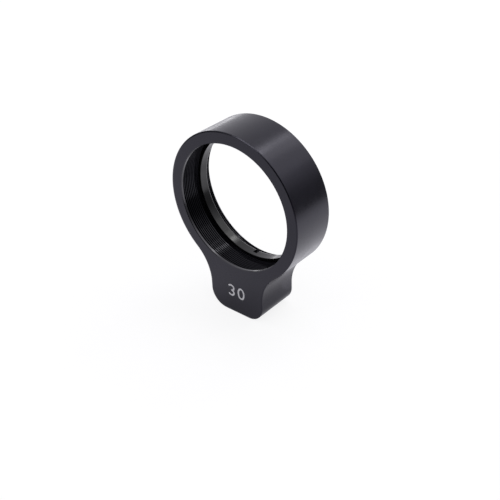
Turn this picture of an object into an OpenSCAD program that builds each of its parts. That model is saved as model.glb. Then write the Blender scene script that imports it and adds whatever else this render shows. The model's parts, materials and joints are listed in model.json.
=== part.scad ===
// Fixed lens mount: a ring and its foot turned and milled from one piece,
// with a threaded retaining ring that holds a round lens against a front lip.
//
// Frame: the origin is the middle of the foot's underside, +Z is up, the optical
// axis runs along Y at the height axis_h, and the front of the mount faces -Y.

/* [Lens] */
// Nominal diameter of the lens
lens_d = 30; // [20:0.5:60]
// Width of the lens edge that the front lip covers
lip_cover = 0.6; // [0.3:0.1:1.5]
// Width of the lens edge that the retaining ring covers
ring_cover = 0.7; // [0.3:0.1:1.5]
// Space between the lip and the retaining ring, for the edge of the lens
edge_space = 5.5; // [2:0.5:6]

/* [Thread] */
// How much larger than the lens the thread is, across the diameter
thread_over = 1; // [0.8:0.1:2]
// Thread pitch
pitch = 0.5; // [0.35:0.05:0.75]
// Width of the run-out groove between the lip and the thread
relief_w = 0.8; // [0.4:0.1:1.5]
// Depth of the run-out groove below the top of the thread
relief_depth = 0.1; // [0.05:0.05:0.3]
// Chamfer at the rear mouth of the thread
mouth_chamfer = 0.4; // [0.2:0.1:0.8]

/* [Body] */
// Wall of the ring outside the thread
wall = 1.5; // [1.2:0.1:4]
// Thickness of the mount, from its front face to its rear face
body_t = 10.5; // [10:0.5:20]
// Thickness of the front lip
lip_t = 0.6; // [0.4:0.1:1.5]

/* [Foot] */
// Height of the optical axis above the underside
axis_h = 26.5; // [26:0.5:60]
// Width of the foot
foot_w = 14.5; // [12:0.5:20]
// Radius of the foot's lower corners
corner_r = 4; // [1:0.5:4.5]
// Radius of the hollow fillet where the foot runs into the ring
neck_r = 10.6; // [4:0.2:12]

/* [Post hole] */
// Drilled diameter of the tapped hole in the underside
post_hole_d = 3.3; // [2.5:0.1:5]
// Length of the hole's straight wall
post_hole_depth = 8; // [5:0.5:8.5]
// Angle of the drill point at the end of the hole
drill_point = 118; // [90:1:140]
// Countersink at the mouth of the hole
post_chamfer = 0.4; // [0.2:0.1:0.8]

/* [Retaining ring] */
// Thickness of the retaining ring
ring_t = 2.3; // [1.5:0.1:4]
// Radial clearance between the ring and the thread in the mount
thread_clear = 0.05; // [0.02:0.01:0.1]
// Chamfer at the ring's two outer edges
ring_chamfer = 0.2; // [0.1:0.05:0.4]
// Chamfer at the rear edge of the ring's bore
bore_chamfer = 0.3; // [0.1:0.05:0.5]
// Width of the two spanner slots
slot_w = 1; // [0.8:0.1:3]
// Depth of the spanner slots from the ring's rear face
slot_depth = 1.4; // [0.5:0.1:1.4]
// Turn of the slots away from the upright, anticlockwise seen from the front
slot_turn = -1; // [-90:0.1:90]

/* [Hidden] */
$fn = 128;

// How far a cut runs past the face that it opens
past = 1;
// Depth of a 60-degree thread from its top to its pitch line, for each unit of pitch
pitch_line_share = 0.3248;

body_colour = [0.16, 0.16, 0.17];
ring_colour = [0.2, 0.2, 0.21];

thread_r = (lens_d + thread_over) / 2;
// Plain stand-in for the thread: a cylinder at its pitch line
pitch_r = thread_r - pitch_line_share * pitch;
body_r = thread_r + wall;
lip_r = lens_d / 2 - lip_cover;
relief_r = thread_r + relief_depth;
mouth_r = thread_r + mouth_chamfer;

front_y = -body_t / 2;
rear_y = body_t / 2;
seat_y = front_y + lip_t;

// The neck fillets touch the round of the ring and the upright sides of the foot
neck_x = foot_w / 2 + neck_r;
neck_z = axis_h - sqrt(pow(body_r + neck_r, 2) - pow(neck_x, 2));
foot_corner = min(corner_r, neck_z, foot_w / 2);

ring_r = pitch_r - thread_clear;
ring_bore_r = lens_d / 2 - ring_cover;
ring_front_y = seat_y + edge_space;

post_r = post_hole_d / 2;
drill_tip = post_r / tan(drill_point / 2);

// Turns a (radius, Y) profile round the optical axis
module on_axis() {
    translate([0, 0, axis_h]) rotate([-90, 0, 0]) rotate_extrude() children();
}

// Lower part of the outline: straight sides on two round corners
module foot_outline() {
    translate([-foot_w / 2, foot_corner]) square([foot_w, axis_h - foot_corner]);
    translate([foot_corner - foot_w / 2, 0]) square([foot_w - 2 * foot_corner, axis_h]);
    for (side = [-1, 1])
        translate([side * (foot_w / 2 - foot_corner), foot_corner]) circle(r = foot_corner);
}

// Web that fills the two corners between ring and foot, hollowed by the fillets
module neck_outline() {
    difference() {
        polygon([[-neck_x, neck_z], [neck_x, neck_z], [0, axis_h]]);
        for (side = [-1, 1]) translate([side * neck_x, neck_z]) circle(r = neck_r);
    }
}

// The whole front view of the mount, before the lens bore is turned out
module outline() {
    translate([0, axis_h]) circle(r = body_r);
    neck_outline();
    foot_outline();
}

// Lens bore: open lip, flat seat, run-out groove, thread and rear mouth
module lens_bore() {
    on_axis() polygon([
        [0, front_y - past],
        [lip_r, front_y - past],
        [lip_r, seat_y],
        [relief_r, seat_y],
        [relief_r, seat_y + relief_w],
        [pitch_r, seat_y + relief_w],
        [pitch_r, rear_y - (mouth_r - pitch_r)],
        [mouth_r + past, rear_y + past],
        [0, rear_y + past]
    ]);
}

// Blind tapped hole in the underside, with its drill point and countersink
module post_hole() {
    rotate_extrude() polygon([
        [0, -past],
        [post_r + post_chamfer + past, -past],
        [post_r, post_chamfer],
        [post_r, post_hole_depth],
        [0, post_hole_depth + drill_tip]
    ]);
}

// Ring, neck and foot, made as one piece
module mount_body() {
    color(body_colour) difference() {
        translate([0, rear_y, 0]) rotate([90, 0, 0]) linear_extrude(body_t) outline();
        lens_bore();
        post_hole();
    }
}

// Section of the retaining ring before its slots are cut
module ring_section() {
    rear = ring_front_y + ring_t;
    polygon([
        [ring_bore_r, ring_front_y],
        [ring_r - ring_chamfer, ring_front_y],
        [ring_r, ring_front_y + ring_chamfer],
        [ring_r, rear - ring_chamfer],
        [ring_r - ring_chamfer, rear],
        [ring_bore_r + bore_chamfer, rear],
        [ring_bore_r, rear - bore_chamfer]
    ]);
}

// One bar across the ring cuts both spanner slots
module spanner_slots() {
    translate([0, ring_front_y + ring_t - slot_depth, axis_h]) rotate([0, -slot_turn, 0])
        translate([-slot_w / 2, 0, -ring_r - past])
            cube([slot_w, slot_depth + past, 2 * (ring_r + past)]);
}

// Threaded ring that clamps the lens, with two slots for a spanner
module retaining_ring() {
    color(ring_colour) difference() {
        on_axis() ring_section();
        spanner_slots();
    }
}

mount_body();
retaining_ring();
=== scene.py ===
# Fixed lens mount: a black anodised ring on a foot, with a threaded retaining ring inside.
import json
import math

import bmesh
import bpy
from mathutils import Matrix, Vector

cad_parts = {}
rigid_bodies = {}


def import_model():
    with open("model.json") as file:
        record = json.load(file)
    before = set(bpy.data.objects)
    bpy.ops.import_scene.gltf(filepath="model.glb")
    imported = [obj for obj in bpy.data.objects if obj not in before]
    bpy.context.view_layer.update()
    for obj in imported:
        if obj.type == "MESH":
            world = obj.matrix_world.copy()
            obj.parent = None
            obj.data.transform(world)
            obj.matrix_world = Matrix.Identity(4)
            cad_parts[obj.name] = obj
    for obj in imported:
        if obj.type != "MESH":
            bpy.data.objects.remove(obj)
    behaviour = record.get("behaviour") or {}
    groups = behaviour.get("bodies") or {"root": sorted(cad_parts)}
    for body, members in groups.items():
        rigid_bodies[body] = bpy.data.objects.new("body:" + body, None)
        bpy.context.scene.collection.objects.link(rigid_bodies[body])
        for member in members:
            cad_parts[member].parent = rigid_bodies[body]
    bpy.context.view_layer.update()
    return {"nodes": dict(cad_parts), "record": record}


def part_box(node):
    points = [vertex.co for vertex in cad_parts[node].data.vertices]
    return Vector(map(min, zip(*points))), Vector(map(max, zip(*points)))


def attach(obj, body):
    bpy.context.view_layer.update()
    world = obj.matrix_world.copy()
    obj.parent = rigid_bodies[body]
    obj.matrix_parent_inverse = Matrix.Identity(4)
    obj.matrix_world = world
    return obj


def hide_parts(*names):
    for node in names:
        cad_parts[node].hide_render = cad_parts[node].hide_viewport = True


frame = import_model()
print("frame loaded:", ", ".join(sorted(frame["nodes"])))

mm = 0.001
turn = 2 * math.pi
tiny = 1e-7  # points closer than this are one point
smoothUnder = math.radians(38)  # edges that turn by more than this stay crisp

# places that both parts are built on, read from the frame
bodyLow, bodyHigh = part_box("mount_body")
ringLow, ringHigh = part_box("retaining_ring")
places = {place["name"]: place for place in frame["record"]["mounts"]}
axisZ = places["lens_seat"]["pos_m"][2]  # height of the optical axis
seatY = places["lens_seat"]["pos_m"][1]  # face that the lens rests on
lensR = places["lens_seat"]["dims"]["r_mm"] * mm

lensThread = {
    "major": lensR + 0.5 * mm,  # radius at the bottom of the groove
    "pitch": 0.5 * mm,
    "columns": 288,  # facets round the axis
    "gap": 0.05 * mm,  # between the two threads
}

# 60-degree thread, in shares of the pitch
threadShape = {
    "depth": 0.5413,
    "shoulder": 0.035,  # takes the sharp corner off the land
    "corners": (0.115, 0.150, 0.4375, 0.5625, 0.850, 0.885),  # of the form, along the pitch
}


# helpers for turned and milled shapes


def intoScene(name, data):
    thing = bpy.data.objects.new(name, data)
    bpy.context.scene.collection.objects.link(thing)
    return thing


def meshFrom(bm, name):
    mesh = bpy.data.meshes.new(name)
    bm.to_mesh(mesh)
    bm.free()
    return mesh


def finishMesh(bm, name):
    bmesh.ops.remove_doubles(bm, verts=bm.verts, dist=tiny)
    loose = [vert for vert in bm.verts if not vert.link_faces]
    bmesh.ops.delete(bm, geom=loose, context="VERTS")
    bmesh.ops.recalc_face_normals(bm, faces=bm.faces)
    for face in bm.faces:
        face.smooth = True
    mesh = meshFrom(bm, name)
    mesh.set_sharp_from_angle(angle=smoothUnder)
    return intoScene(name, mesh)


def combine(piece, other, operation):
    # boolean of two pieces, which uses the other one up
    change = piece.modifiers.new("combine", "BOOLEAN")
    change.operation = operation
    change.solver = "EXACT"
    change.object = other
    depsgraph = bpy.context.evaluated_depsgraph_get()
    mesh = bpy.data.meshes.new_from_object(piece.evaluated_get(depsgraph))
    mesh.set_sharp_from_angle(angle=smoothUnder)
    before = piece.data
    piece.modifiers.clear()
    piece.data = mesh
    bpy.data.meshes.remove(before)
    bpy.data.meshes.remove(other.data)
    mesh.name = piece.name


def lensPlace(radius, angle, depth):
    # angle runs so that a growing depth gives a right-handed thread
    return Vector((radius * math.cos(angle), depth, axisZ - radius * math.sin(angle)))


def holePlace(radius, angle, height):
    return Vector((radius * math.cos(angle), radius * math.sin(angle), height))


def turnedRow(bm, place, radius, depth, columns):
    return [bm.verts.new(place(radius, turn * i / columns, depth)) for i in range(columns)]


def joinRows(bm, rowA, rowB, leaveOut=()):
    count = len(rowA)
    for i in range(count):
        if i not in leaveOut:
            j = (i + 1) % count
            bm.faces.new((rowA[i], rowA[j], rowB[j], rowB[i]))


def joinAll(bm, rows):
    for rowA, rowB in zip(rows, rows[1:]):
        joinRows(bm, rowA, rowB)


def closedEdges(bm, row):
    edges = []
    for i, vert in enumerate(row):
        after = row[(i + 1) % len(row)]
        edges.append(bm.edges.get((vert, after)) or bm.edges.new((vert, after)))
    return edges


def fillBetween(bm, outerRow, innerRow):
    edges = closedEdges(bm, outerRow) + closedEdges(bm, innerRow)
    bmesh.ops.triangle_fill(bm, use_beauty=True, edges=edges)


def roundedEdge(radius, steps):
    # quarter round as (distance in from the side, distance back from the face)
    points = []
    for i in range(steps + 1):
        angle = turn / 4 * i / steps
        points.append((radius * (1 - math.sin(angle)), radius * (1 - math.cos(angle))))
    return points


def threadForm(major, pitch):
    # one pitch of an internal thread: (share of the pitch, radius)
    land = major - threadShape["depth"] * pitch
    shoulder = land + threadShape["shoulder"] * pitch
    return list(zip(threadShape["corners"], (land, shoulder, major, major, shoulder, land)))


def formRadius(form, share):
    start, land = form[0]
    share = (share - start) % 1 + start
    for (shareA, radiusA), (shareB, radiusB) in zip(form, form[1:] + [(start + 1, land)]):
        if share <= shareB:
            return radiusA + (radiusB - radiusA) * (share - shareA) / (shareB - shareA)


def threadRows(bm, place, form, pitch, columns, origin, low, high, trim):
    # a helical band between two planes; trim cuts the form back at its ends
    firstTurn = math.floor((low - origin) / pitch) - 2  # early enough for every column
    lastTurn = math.ceil((high - origin) / pitch)
    grid = []
    for i in range(columns):
        column = []
        for turnNumber in range(firstTurn, lastTurn + 1):
            for share, _ in form:
                depth = origin + (turnNumber + share + i / columns) * pitch
                depth = min(max(depth, low), high)
                radius = formRadius(form, (depth - origin) / pitch - i / columns)
                column.append(bm.verts.new(place(trim(radius, depth), turn * i / columns, depth)))
        grid.append(column)
    step = len(form)
    for i in range(columns):
        here = grid[i]
        after = grid[(i + 1) % columns]
        shift = step if i == columns - 1 else 0  # the last column meets the next turn
        for k in range(len(here) - 1 - shift):
            bm.faces.new((here[k], after[k + shift], after[k + shift + 1], here[k + 1]))
    return [column[0] for column in grid], [column[-1] for column in grid]


# the mount body: ring, neck and foot in one piece

bodyShape = {
    "footWidth": 14.5 * mm,
    "cornerRadius": 4 * mm,
    "neckRadius": 10.6 * mm,
    "lipRadius": 14.3 * mm,
    "lipChamfer": 0.12 * mm,
    "seatEdge": 0.02 * mm,  # where the lip's wall meets the seat
    "groove": (15.6 * mm, 0.8 * mm),  # radius and width of the run-out groove behind the lip
    "mouthRadius": 15.9 * mm,
    "frontChamfer": (0.28 * mm, 0.13 * mm),  # broken outside edge at the front: inward, back
    "chamferSoft": 0.03 * mm,  # takes the corners off that chamfer
    "softSink": (0.23, 0.5),  # how far those corners sink, as shares of it: at the face, at the side
    "rearEdge": (0.025 * mm, 4),  # rounding of the outside edge at the rear, and its steps
    "border": 0.06 * mm,  # flat strip that keeps the rounding off the faces
    "postThread": (2 * mm, 0.7 * mm, 7 * mm),  # radius, pitch and length of the tapped hole
    "postColumns": 64,
    "postMouth": 2.05 * mm,
    "postDepth": 8 * mm,
    "postPoint": 118,  # angle of the drill point
}

outerR = bodyHigh.x
footHalf = bodyShape["footWidth"] / 2
cornerR, neckR = bodyShape["cornerRadius"], bodyShape["neckRadius"]
neckX = footHalf + neckR
neckZ = axisZ - math.sqrt((outerR + neckR) ** 2 - neckX**2)
neckTurn = math.degrees(math.atan2(axisZ - neckZ, neckX))
cornerX = footHalf - cornerR

# arcs of the front view: x, z, radius, +1 where an inset makes it larger, first and last angle, steps
bodyArcs = [
    (0, axisZ, outerR, -1, -neckTurn, 180 + neckTurn, 224),
    (-neckX, neckZ, neckR, 1, neckTurn, 0, 18),
    (-cornerX, cornerR, cornerR, -1, 180, 270, 16),
    (cornerX, cornerR, cornerR, -1, 270, 360, 16),
    (neckX, neckZ, neckR, 1, 180, 180 - neckTurn, 18),
]


def outlineRow(bm, inset, depth):
    points = []
    for x, z, radius, grow, first, last, steps in bodyArcs:
        for i in range(steps + 1):
            angle = math.radians(first + (last - first) * i / steps)
            reach = radius + grow * inset
            point = Vector((x + reach * math.cos(angle), depth, z + reach * math.sin(angle)))
            if not points or (point - points[-1]).length > tiny:
                points.append(point)
    if (points[0] - points[-1]).length < 10 * tiny:
        points.pop()
    return [bm.verts.new(point) for point in points]


def millOutside(bm):
    # chamfered front edge, side and rounded rear edge
    border, soft = bodyShape["border"], bodyShape["chamferSoft"]
    rearEdge, rearSteps = bodyShape["rearEdge"]
    inward, deep = bodyShape["frontChamfer"]
    sinkFace, sinkSide = bodyShape["softSink"]
    frontLevels = [
        (inward + soft + border, 0),
        (inward + soft, 0),
        (inward - soft, sinkFace * soft),
        (sinkSide * soft, deep - soft),
        (0, deep + soft),
        (0, deep + soft + border),
    ]
    rearLevels = [(0, rearEdge + border)]
    rearLevels += roundedEdge(rearEdge, rearSteps)[::-1]
    rearLevels += [(rearEdge + border, 0)]
    rows = [outlineRow(bm, inset, bodyLow.y + back) for inset, back in frontLevels]
    rows += [outlineRow(bm, inset, bodyHigh.y - back) for inset, back in rearLevels]

    # the flat of the underside is left open for the tapped hole
    side = len(frontLevels) - 1
    lowest = min(vert.co.z for vert in rows[side])
    base = [i for i, vert in enumerate(rows[side]) if vert.co.z < lowest + tiny][0]
    for k in range(len(rows) - 1):
        joinRows(bm, rows[k], rows[k + 1], leaveOut=(base,) if k == side else ())
    baseRow = [rows[side][base], rows[side][base + 1], rows[side + 1][base + 1], rows[side + 1][base]]
    return rows[0], rows[-1], baseRow


def turnBore(bm, frontRow, backRow):
    # lip, seat, run-out groove, thread and rear mouth
    frontY, rearY = bodyLow.y, bodyHigh.y
    columns, pitch = lensThread["columns"], lensThread["pitch"]
    lipR, lipChamfer = bodyShape["lipRadius"], bodyShape["lipChamfer"]
    seatEdge, border = bodyShape["seatEdge"], bodyShape["border"]
    grooveR, grooveWidth = bodyShape["groove"]
    mouthR = bodyShape["mouthRadius"]
    bore = [
        (lipR + lipChamfer + border, frontY),
        (lipR + lipChamfer, frontY),
        (lipR, frontY + lipChamfer),
        (lipR, seatY - seatEdge),
        (lipR + seatEdge, seatY),
        (grooveR, seatY),
        (grooveR, seatY + grooveWidth),
    ]
    boreRows = [turnedRow(bm, lensPlace, radius, depth, columns) for radius, depth in bore]
    joinAll(bm, boreRows)

    def openMouth(radius, depth):
        return max(radius, mouthR - (rearY - depth))

    form = threadForm(lensThread["major"], pitch)
    low = seatY + grooveWidth
    first, last = threadRows(bm, lensPlace, form, pitch, columns, seatY, low, rearY, openMouth)
    rearRow = turnedRow(bm, lensPlace, mouthR + border, rearY, columns)
    joinRows(bm, boreRows[-1], first)
    joinRows(bm, last, rearRow)
    fillBetween(bm, frontRow, boreRows[0])
    fillBetween(bm, backRow, rearRow)


def tapPostHole(bm, baseRow):
    # countersink, thread, plain wall and drill point
    postR, pitch, length = bodyShape["postThread"]
    columns, mouthR = bodyShape["postColumns"], bodyShape["postMouth"]
    drillR = places["post_hole"]["dims"]["r_mm"] * mm
    low = bodyLow.z
    high = low + length

    def countersink(radius, height):
        return max(radius, mouthR - (height - low))

    form = threadForm(postR, pitch)
    first, last = threadRows(bm, holePlace, form, pitch, columns, low, low, high, countersink)
    mouthRow = turnedRow(bm, holePlace, mouthR + bodyShape["border"], low, columns)
    joinRows(bm, mouthRow, first)
    wall = turnedRow(bm, holePlace, drillR, high, columns)
    end = turnedRow(bm, holePlace, drillR, low + bodyShape["postDepth"], columns)
    joinRows(bm, last, wall)
    joinRows(bm, wall, end)
    tipHeight = bodyShape["postDepth"] + drillR / math.tan(math.radians(bodyShape["postPoint"] / 2))
    tip = bm.verts.new((0, 0, low + tipHeight))
    for i, vert in enumerate(end):
        bm.faces.new((vert, end[(i + 1) % columns], tip))
    fillBetween(bm, baseRow, mouthRow)


def buildMountBody():
    bm = bmesh.new()
    frontRow, backRow, baseRow = millOutside(bm)
    turnBore(bm, frontRow, backRow)
    tapPostHole(bm, baseRow)
    return finishMesh(bm, "mountBody")


mountBody = buildMountBody()
print("mount body:", len(mountBody.data.polygons), "faces")


# the threaded ring that holds the lens

ringShape = {
    "boreRadius": 14.3 * mm,
    "boreRound": (0.5 * mm, 6),  # rounding of the bore's rear edge, and its steps
    "frontEdge": 0.06 * mm,
    "border": 0.05 * mm,  # flat strip beside the edges of the bore
    "threadChamfer": 0.2 * mm,
    "threadBorder": 0.06 * mm,  # flat strip beside that chamfer
    "slotWidth": 1 * mm,
    "slotDepth": 1.4 * mm,
    "slotEdge": 0.05 * mm,
    "slotTurn": -1,  # degrees, anticlockwise seen from the front
    "slotReach": 18 * mm,  # half the length of the bar that cuts both slots, past the ring's edge
    "seatGap": 0.01 * mm,  # keeps the front face off the lip when the ring is screwed right home
}


def buildRetainingRing():
    bm = bmesh.new()
    columns, pitch = lensThread["columns"], lensThread["pitch"]
    frontY, rearY = ringLow.y + ringShape["seatGap"], ringHigh.y
    boreR = ringShape["boreRadius"]
    boreRound, boreSteps = ringShape["boreRound"]
    edge, border = ringShape["frontEdge"], ringShape["border"]
    endR = ringHigh.x - ringShape["threadChamfer"]
    flatR = endR - ringShape["threadBorder"]

    def cutBack(radius, depth):
        return min(radius, endR + (depth - frontY), endR + (rearY - depth))

    form = threadForm(lensThread["major"] - lensThread["gap"], pitch)
    first, last = threadRows(bm, lensPlace, form, pitch, columns, seatY, frontY, rearY, cutBack)
    profile = [
        (flatR, rearY),
        (boreR + boreRound + border, rearY),
        *[(boreR + inset, rearY - back) for inset, back in roundedEdge(boreRound, boreSteps)],
        (boreR, rearY - boreRound - border),
        (boreR, frontY + edge + border),
        (boreR, frontY + edge),
        (boreR + edge, frontY),
        (boreR + edge + border, frontY),
        (flatR, frontY),
    ]
    rows = [turnedRow(bm, lensPlace, radius, depth, columns) for radius, depth in profile]
    joinRows(bm, last, rows[0])
    joinAll(bm, rows)
    joinRows(bm, rows[-1], first)
    return finishMesh(bm, "retainingRing")


def buildSlotCutter():
    # one bar across the ring, wider at the rear face so that the slots' edges are broken
    half, edge, reach = ringShape["slotWidth"] / 2, ringShape["slotEdge"], ringShape["slotReach"]
    floorY, rearY = ringHigh.y - ringShape["slotDepth"], ringHigh.y
    section = [
        (-half + edge, floorY),
        (half - edge, floorY),
        (half, floorY + edge),
        (half, rearY - edge),
        (half + 2 * edge, rearY + edge),
        (-half - 2 * edge, rearY + edge),
        (-half, rearY - edge),
        (-half, floorY + edge),
    ]
    bm = bmesh.new()
    ends = [[bm.verts.new((x, y, z)) for x, y in section] for z in (-reach, reach)]
    joinRows(bm, ends[0], ends[1])
    for end in ends:
        bm.faces.new(end)
    bmesh.ops.recalc_face_normals(bm, faces=bm.faces)
    tilt = Matrix.Rotation(math.radians(-ringShape["slotTurn"]), 4, "Y")
    bmesh.ops.transform(bm, matrix=Matrix.Translation((0, 0, axisZ)) @ tilt, verts=bm.verts)
    return intoScene("slotCutter", meshFrom(bm, "slotCutter"))


retainingRing = buildRetainingRing()
combine(retainingRing, buildSlotCutter(), "DIFFERENCE")
print("retaining ring:", len(retainingRing.data.polygons), "faces")


# size mark on the foot

markShape = {
    "height": 3.0 * mm,
    "width": 0.6,  # of each digit, as a share of its height, both without the stroke
    "stroke": 0.42 * mm,
    "gap": 0.85 * mm,  # between the digits
    "centre": (0.0, 5.6 * mm),  # x and z on the front of the foot
    "three": ((150, -90, 30), (90, -150, 30)),  # two arcs: first and last angle, steps
    "zero": (0, 355, 71),
    "proud": 0.008 * mm,
    "sunk": 0.03 * mm,
}


def arcPoints(x, z, radiusX, radiusZ, first, last, steps):
    points = []
    for i in range(steps + 1):
        angle = math.radians(first + (last - first) * i / steps)
        points.append(Vector((x + radiusX * math.cos(angle), z + radiusZ * math.sin(angle))))
    return points


def buildStroke(name, points, closed):
    # a flat band of even width along the points, a little thicker than paint
    bm = bmesh.new()
    half = markShape["stroke"] / 2
    frontY = bodyLow.y - markShape["proud"]
    backY = bodyLow.y + markShape["sunk"]
    count = len(points)
    rings = []
    for i, point in enumerate(points):
        before = points[i - 1] if closed or i > 0 else point
        after = points[(i + 1) % count] if closed or i < count - 1 else point
        along = (after - before).normalized()
        across = Vector((-along.y, along.x)) * half
        left, right = point + across, point - across
        corners = [(left, frontY), (right, frontY), (right, backY), (left, backY)]
        rings.append([bm.verts.new((flat.x, y, flat.y)) for flat, y in corners])
    joinAll(bm, rings)
    if closed:
        joinRows(bm, rings[-1], rings[0])
    else:
        bm.faces.new(rings[0])
        bm.faces.new(rings[-1])
    return finishMesh(bm, name)


def buildSizeMark():
    # the lens diameter, 30
    x, z = markShape["centre"]
    height = markShape["height"] - markShape["stroke"]
    width = markShape["width"] * height
    offset = (width + markShape["stroke"] + markShape["gap"]) / 2
    quarter = height / 4
    upperArc, lowerArc = markShape["three"]
    upper = arcPoints(x - offset, z + quarter, width / 2, quarter, *upperArc)
    lower = arcPoints(x - offset, z - quarter, width / 2, quarter, *lowerArc)
    zero = arcPoints(x + offset, z, width / 2, height / 2, *markShape["zero"])
    mark = buildStroke("sizeMark", upper, False)
    combine(mark, buildStroke("lowerStroke", lower, False), "UNION")
    combine(mark, buildStroke("zeroStroke", zero, True), "UNION")
    return mark


sizeMark = buildSizeMark()
print("size mark:", len(sizeMark.data.polygons), "faces")


# finishes

bodyFinish = {
    "dark": (0.0020, 0.0019, 0.0036),
    "light": (0.0037, 0.0035, 0.0062),
    "roughness": (0.18, 0.26),
    "metallic": 0.0,
    "ior": 1.40,
    "tint": (0.84, 0.815, 1.0),  # the dyed layer reflects a little blue
    "grain": 0.05,  # strength of the blasted grain
    "turned": 0.04,  # strength of the turning marks
}
# the lip's thin wall is rubbed by every lens
rubbedFinish = {
    "dark": (0.002, 0.002, 0.003),
    "light": (0.005, 0.005, 0.0065),
    "roughness": (0.16, 0.24),
    "ior": 1.62,
    "tint": (0.88, 0.865, 0.92),
}
# the flanks of the thread are darker, rougher and less reflective than the rest of the body
threadFinish = {
    "dark": (0.0012, 0.0011, 0.0020),
    "light": (0.0024, 0.0022, 0.0036),
    "roughness": (0.30, 0.38),
    "ior": 1.20,
    "grain": 0.02,
    "turned": 0.0,
}
# the tops are smooth, as bored, and shine like dark metal
threadTopFinish = {
    "dark": (0.027, 0.027, 0.030),
    "light": (0.034, 0.034, 0.037),
    "roughness": (0.09, 0.13),
    "metallic": 1.0,
    "tint": (0.5, 0.5, 0.5),
    "grain": 0.0,
    "turned": 0.0,
}
ringFinish = {
    "dark": (0.0018, 0.0017, 0.0022),
    "light": (0.0030, 0.0029, 0.0036),
    "roughness": (0.13, 0.20),
    "metallic": 0.0,
    "ior": 1.44,
    "tint": (0.895, 0.90, 0.88),
    "grain": 0.03,
    "turned": 0.10,
}
# bleached dye
markFinish = {
    "dark": (0.58, 0.58, 0.59),
    "light": (0.76, 0.76, 0.77),
    "roughness": 0.7,
}
# noise of the finishes; over its span a finish goes from one end of its range to the other
patterns = {
    "dye": {"scale": 180, "detail": 3, "span": (0.35, 0.68)},
    "gloss": {"scale": 420, "detail": 4, "span": (0.3, 0.7)},
    "speckle": {"scale": 6000, "detail": 3, "span": (0.35, 0.7)},
    "grain": {"scale": 9000, "detail": 2},
    "turned": {"scale": 5200, "detail": 3},
}
bumpHeight = 0.02 * mm


def link(tree, source, output, target, socket):
    tree.links.new(source.outputs[output], target.inputs[socket])


def mathNode(tree, operation, valueB=0.0):
    node = tree.nodes.new("ShaderNodeMath")
    node.operation = operation
    node.inputs[1].default_value = valueB
    return node


def noiseNode(tree, source, output, pattern):
    node = tree.nodes.new("ShaderNodeTexNoise")
    node.inputs["Scale"].default_value = patterns[pattern]["scale"]
    node.inputs["Detail"].default_value = patterns[pattern]["detail"]
    link(tree, source, output, node, "Vector")
    return node


def rampNode(tree, source, output, low, high):
    node = tree.nodes.new("ShaderNodeValToRGB")
    for element, (position, colour) in zip(node.color_ramp.elements, (low, high)):
        element.position = position
        element.color = (*colour, 1)
    link(tree, source, output, node, "Fac")
    return node


def rangeNode(tree, source, output, span, levels, interpolation="SMOOTHSTEP"):
    # turns a span of values into a span of levels
    node = tree.nodes.new("ShaderNodeMapRange")
    node.interpolation_type = interpolation
    node.inputs["From Min"].default_value, node.inputs["From Max"].default_value = span
    node.inputs["To Min"].default_value, node.inputs["To Max"].default_value = levels
    link(tree, source, output, node, "Value")
    return node


def bumpNode(tree, noise, strength):
    node = tree.nodes.new("ShaderNodeBump")
    node.inputs["Strength"].default_value = strength
    node.inputs["Distance"].default_value = bumpHeight
    link(tree, noise, "Fac", node, "Height")
    return node


def lengthNode(tree, source, output):
    node = tree.nodes.new("ShaderNodeVectorMath")
    node.operation = "LENGTH"
    link(tree, source, output, node, 0)
    return node


def lathePlace(tree, where):
    # a place that changes only with the radius and along the optical axis
    parts = tree.nodes.new("ShaderNodeSeparateXYZ")
    link(tree, where, "Object", parts, "Vector")
    rise = mathNode(tree, "SUBTRACT", axisZ)
    link(tree, parts, "Z", rise, 0)
    flat = tree.nodes.new("ShaderNodeCombineXYZ")
    link(tree, parts, "X", flat, "X")
    link(tree, rise, "Value", flat, "Y")
    lathe = tree.nodes.new("ShaderNodeCombineXYZ")
    link(tree, lengthNode(tree, flat, "Vector"), "Value", lathe, "X")
    link(tree, parts, "Y", lathe, "Y")
    return lathe


def mottle(tree, where, pattern, finish):
    # colour that varies from the finish's dark to its light
    low, high = patterns[pattern]["span"]
    noise = noiseNode(tree, where, "Object", pattern)
    return rampNode(tree, noise, "Fac", (low, finish["dark"]), (high, finish["light"]))


def newMaterial(name):
    material = bpy.data.materials.new(name)
    material.use_nodes = True
    return material, material.node_tree


def anodised(name, finish):
    # black anodised aluminium: fine blasted grain over faint turning marks round the optical axis
    material, tree = newMaterial(name)
    shader = tree.nodes["Principled BSDF"]
    shader.inputs["Metallic"].default_value = finish["metallic"]
    shader.inputs["IOR"].default_value = finish["ior"]
    shader.inputs["Specular Tint"].default_value = (*finish["tint"], 1)
    where = tree.nodes.new("ShaderNodeTexCoord")

    # the dye and the gloss vary a little from place to place
    link(tree, mottle(tree, where, "dye", finish), "Color", shader, "Base Color")
    patch = noiseNode(tree, where, "Object", "gloss")
    gloss = rangeNode(tree, patch, "Fac", patterns["gloss"]["span"], finish["roughness"], "LINEAR")
    link(tree, gloss, "Result", shader, "Roughness")

    # grain from the blasting, and marks from the lathe on top
    grain = noiseNode(tree, where, "Object", "grain")
    grainBump = bumpNode(tree, grain, finish["grain"])
    marks = noiseNode(tree, lathePlace(tree, where), "Vector", "turned")
    markBump = bumpNode(tree, marks, finish["turned"])
    link(tree, grainBump, "Normal", markBump, "Normal")
    link(tree, markBump, "Normal", shader, "Normal")
    return material


def laserMark(name, finish):
    # pale and slightly speckled
    material, tree = newMaterial(name)
    shader = tree.nodes["Principled BSDF"]
    where = tree.nodes.new("ShaderNodeTexCoord")
    link(tree, mottle(tree, where, "speckle", finish), "Color", shader, "Base Color")
    shader.inputs["Roughness"].default_value = finish["roughness"]
    return material


def dress(piece, materials, body):
    piece.data.materials.clear()
    for material in materials:
        piece.data.materials.append(material)
    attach(piece, body)


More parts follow.
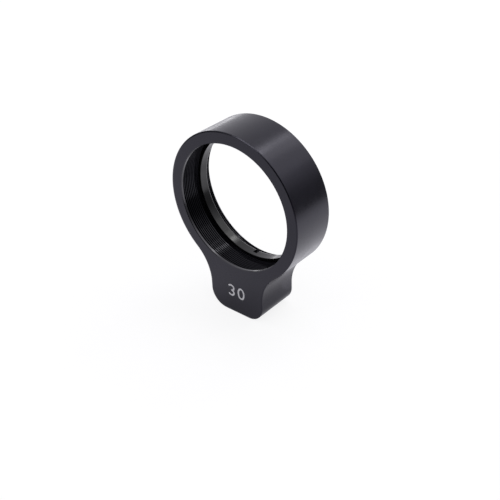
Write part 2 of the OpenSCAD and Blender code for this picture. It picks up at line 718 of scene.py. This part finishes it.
def finishBore(piece):
    # finish 1 is for the lip's wall and chamfer, 2 for the groove and the thread, 3 for its tops
    lipR, mouthR = bodyShape["lipRadius"], bodyShape["mouthRadius"]
    lipReach = 0.6 * bodyShape["lipChamfer"]  # a little past the middle of the chamfer
    landR = threadForm(lensThread["major"], lensThread["pitch"])[0][1]
    for face in piece.data.polygons:
        x, y, z = face.center
        radius = math.hypot(x, z - axisZ)
        onLip = y < seatY and abs(radius - lipR) < lipReach
        inBore = seatY + tiny < y < bodyHigh.y - tiny and radius < mouthR
        if onLip:
            face.material_index = 1
        elif inBore:
            face.material_index = 3 if radius < landR + tiny else 2


bodyFinishes = [
    anodised("blackAnodised", bodyFinish),
    anodised("rubbedAnodised", bodyFinish | rubbedFinish),
    anodised("blackThread", bodyFinish | threadFinish),
    anodised("threadTops", bodyFinish | threadTopFinish),
]
dress(mountBody, bodyFinishes, "mount")
finishBore(mountBody)
dress(retainingRing, [anodised("blackAnodisedTurned", ringFinish)], "lens_ring")
dress(sizeMark, [laserMark("paleLaserMark", markFinish)], "mount")
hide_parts("mount_body")
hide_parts("retaining_ring")
print("finishes set")


# studio: floor, backdrop, lamps and cards, in metres

studio = {
    "floorReach": 1.2,
    "floorGlow": (0.84, 0.88),  # share of the floor's white that no shadow takes away: near, far
    "floorFade": (0.08, 0.30),  # distances between which near turns into far
    "floorColour": 0.2,
    "fill": 0.7,  # light from the backdrop on dull surfaces
    "contact": (0.55, 0.005, 0.018),  # painted contact shadow under the foot, seen only in reflections: its darkest level, and where it starts and ends
    "contactLift": 0.0002,  # of the card that carries that painted shadow
    "cool": (0.98, 0.97, 1.04),  # colour of the studio's white in reflections
    "flagRise": (-0.15, 0.5),  # where a card turns from dark to pale, in heights above its middle
}

# soft lamps: direction from the ring, distance, width and height, and how much brighter than white
lamps = {
    "topSoftbox": {"way": (0.09, 0.63, 0.77), "away": 0.40, "size": (0.13, 0.50), "bright": 1.3},
    "smallTopLamp": {"way": (0.054, 0.63, 0.773), "away": 0.40, "size": (0.035, 0.035), "bright": 5.5},
    "topSpill": {"way": (0.47, 0.63, 0.62), "away": 0.40, "size": (0.17, 0.50), "bright": 0.62},
    "leftLowLamp": {"way": (-0.77, 0.63, -0.055), "away": 0.44, "size": (0.50, 0.05), "bright": 2.0},
    "frontLamp": {"way": (-0.44, -0.88, 0.20), "away": 0.30, "size": (0.074, 0.07), "bright": 6.0},
}

# glowing panel on the table behind the mount, facing up
tablePanel = {"place": (0.044, 0.042, 0.001), "size": (0.068, 0.070), "bright": 0.38}

# grey cards that only reflections see: direction, distance, size, and brightness from foot to top
flags = {
    "sideFlag": {"way": (0.77, 0.63), "away": 0.157, "size": (0.26, 0.12), "tone": (0.29, 1.0)},
    "frontFlag": {"way": (0.31, -0.95), "away": 0.08, "size": (0.094, 0.11), "tone": (0.01, 0.2)},
    "frontLeftFlag": {"way": (-0.77, -0.64), "away": 0.16, "size": (0.11, 0.09), "tone": (0.2, 0.5)},
}


def seenDirectly(tree):
    # 1 for camera, glossy and transmission rays, 0 for the light that dull surfaces gather
    path = tree.nodes.new("ShaderNodeLightPath")
    glossy = mathNode(tree, "MAXIMUM")
    link(tree, path, "Is Camera Ray", glossy, 0)
    link(tree, path, "Is Glossy Ray", glossy, 1)
    both = mathNode(tree, "MAXIMUM")
    link(tree, glossy, "Value", both, 0)
    link(tree, path, "Is Transmission Ray", both, 1)
    return both


def whiteOrCool(tree):
    # pure white to the camera, a little cool in everything else
    path = tree.nodes.new("ShaderNodeLightPath")
    return rampNode(tree, path, "Is Camera Ray", (0, studio["cool"]), (1, (1, 1, 1)))


def glowingCloth(name):
    # glows in the studio's white; what uses it links the strength
    material, tree = newMaterial(name)
    tree.nodes.remove(tree.nodes["Principled BSDF"])
    glow = tree.nodes.new("ShaderNodeEmission")
    glow.inputs["Color"].default_value = (*studio["cool"], 1)
    link(tree, glow, "Emission", tree.nodes["Material Output"], "Surface")
    return material, tree, glow


def glowFromMiddle(tree, span, levels):
    where = tree.nodes.new("ShaderNodeTexCoord")
    return rangeNode(tree, lengthNode(tree, where, "Object"), "Value", span, levels)


def floorWhite():
    # white to look at, over a dull layer that takes the mount's shadow
    material, tree, glow = glowingCloth("floorWhite")
    rise = glowFromMiddle(tree, studio["floorFade"], studio["floorGlow"])
    strength = mathNode(tree, "MULTIPLY")
    link(tree, seenDirectly(tree), "Value", strength, 0)
    link(tree, rise, "Result", strength, 1)
    link(tree, strength, "Value", glow, "Strength")
    link(tree, whiteOrCool(tree), "Color", glow, "Color")
    matt = tree.nodes.new("ShaderNodeBsdfDiffuse")
    matt.inputs["Color"].default_value = (*(studio["floorColour"],) * 3, 1)
    both = tree.nodes.new("ShaderNodeAddShader")
    link(tree, matt, "BSDF", both, 0)
    link(tree, glow, "Emission", both, 1)
    link(tree, both, "Shader", tree.nodes["Material Output"], "Surface")
    return material


def contactCloth():
    # painted shadow on the table right under the mount, darkest at the foot
    darkest, inner, outer = studio["contact"]
    material, tree, glow = glowingCloth("contactCloth")
    link(tree, glowFromMiddle(tree, (inner, outer), (darkest, 1.0)), "Result", glow, "Strength")
    return material


def flagCloth(name, height, tone):
    # dark at the foot of the card, paler towards its top
    material, tree, glow = glowingCloth(name)
    where = tree.nodes.new("ShaderNodeTexCoord")
    parts = tree.nodes.new("ShaderNodeSeparateXYZ")
    link(tree, where, "Object", parts, "Vector")
    low, high = studio["flagRise"]
    rise = rangeNode(tree, parts, "Y", (low * height, high * height), tone)
    link(tree, rise, "Result", glow, "Strength")
    return material


def stagePiece(name, width, height, material):
    bm = bmesh.new()
    bmesh.ops.create_grid(bm, x_segments=8, y_segments=8, size=0.5)
    bmesh.ops.scale(bm, vec=(width, height, 1), verts=bm.verts)
    mesh = meshFrom(bm, name)
    mesh.materials.append(material)
    piece = intoScene(name, mesh)
    return piece


def reflectionsOnly(card):
    card.visible_camera = False
    card.visible_diffuse = False
    card.visible_shadow = False


def layFloor():
    reach = 2 * studio["floorReach"]
    floor = stagePiece("floor", reach, reach, floorWhite())
    floor.location.z = bodyLow.z


def buildBackdrop():
    world = bpy.data.worlds.new("paleBackdrop")
    bpy.context.scene.world = world
    world.use_nodes = True
    tree = world.node_tree
    sky = tree.nodes["Background"]
    level = rangeNode(tree, seenDirectly(tree), "Value", (0, 1), (studio["fill"], 1), "LINEAR")
    link(tree, level, "Result", sky, "Strength")
    link(tree, whiteOrCool(tree), "Color", sky, "Color")


def softLamp(name, size, bright):
    width, height = size
    data = bpy.data.lights.new(name, "AREA")
    data.shape = "RECTANGLE"
    data.size, data.size_y = width, height
    data.energy = bright * math.pi * width * height  # so that white is a brightness of 1
    lamp = intoScene(name, data)
    lamp.visible_camera = False
    return lamp


def hangLamp(name, way, away, size, bright):
    # aimed at the middle of the ring
    centre = Vector((0, 0, axisZ))
    lamp = softLamp(name, size, bright)
    lamp.location = centre + Vector(way).normalized() * away
    lamp.rotation_mode = "QUATERNION"
    lamp.rotation_quaternion = (centre - lamp.location).to_track_quat("-Z", "Y")


def layPanel():
    panel = softLamp("tablePanel", tablePanel["size"], tablePanel["bright"])
    panel.data.color = studio["cool"]
    panel.location = tablePanel["place"]
    panel.rotation_euler = (math.pi, 0, 0)


def standFlag(name, way, away, size, tone):
    width, height = size
    flag = stagePiece(name, width, height, flagCloth(name + "Cloth", height, tone))
    way = Vector((*way, 0)).normalized()
    flag.location = way * away + Vector((0, 0, bodyLow.z + height / 2))
    flag.rotation_mode = "QUATERNION"
    flag.rotation_quaternion = (-way).to_track_quat("Z", "Y")
    reflectionsOnly(flag)


def layPaintedContactShadeCard():
    # a card that only reflections see, carrying the painted contact shadow under the foot
    reach = 2 * studio["contact"][2]
    card = stagePiece("contactCard", reach, reach, contactCloth())
    card.location = (0, 0, bodyLow.z + studio["contactLift"])
    reflectionsOnly(card)


layFloor()
buildBackdrop()
for name, lampSpec in lamps.items():
    hangLamp(name, **lampSpec)
layPanel()
for name, flagSpec in flags.items():
    standFlag(name, **flagSpec)
layPaintedContactShadeCard()
print("studio lit")


# camera

view = {
    "azimuth": 41.33,  # degrees, from straight in front
    "elevation": 32.62,
    "roll": -2.42,
    "distance": 180.055 * mm,  # from the ring's centre
    "across": 0.402 * mm,
    "up": -10.660 * mm,
    "lens": 61.88,  # focal length in mm
    "sensor": 36,  # width in mm
    "clip": (0.01, 10),  # metres
}


def buildCamera():
    azimuth, elevation = math.radians(view["azimuth"]), math.radians(view["elevation"])
    roll = math.radians(view["roll"])
    flat = math.cos(elevation)
    back = Vector((math.sin(azimuth) * flat, -math.cos(azimuth) * flat, math.sin(elevation)))
    level = Vector((math.cos(azimuth), math.sin(azimuth), 0))
    upright = back.cross(level)
    right = math.cos(roll) * level + math.sin(roll) * upright
    up = math.cos(roll) * upright - math.sin(roll) * level
    data = bpy.data.cameras.new("camera")
    data.lens = view["lens"]
    data.sensor_width = view["sensor"]
    data.clip_start, data.clip_end = view["clip"]
    camera = intoScene("camera", data)
    centre = Vector((0, 0, axisZ))
    place = centre + view["distance"] * back + view["across"] * right + view["up"] * up
    camera.matrix_world = Matrix.Translation(place) @ Matrix((right, up, back)).transposed().to_4x4()
    bpy.context.scene.camera = camera


buildCamera()
bpy.context.scene.view_settings.view_transform = "Standard"
print("camera placed")
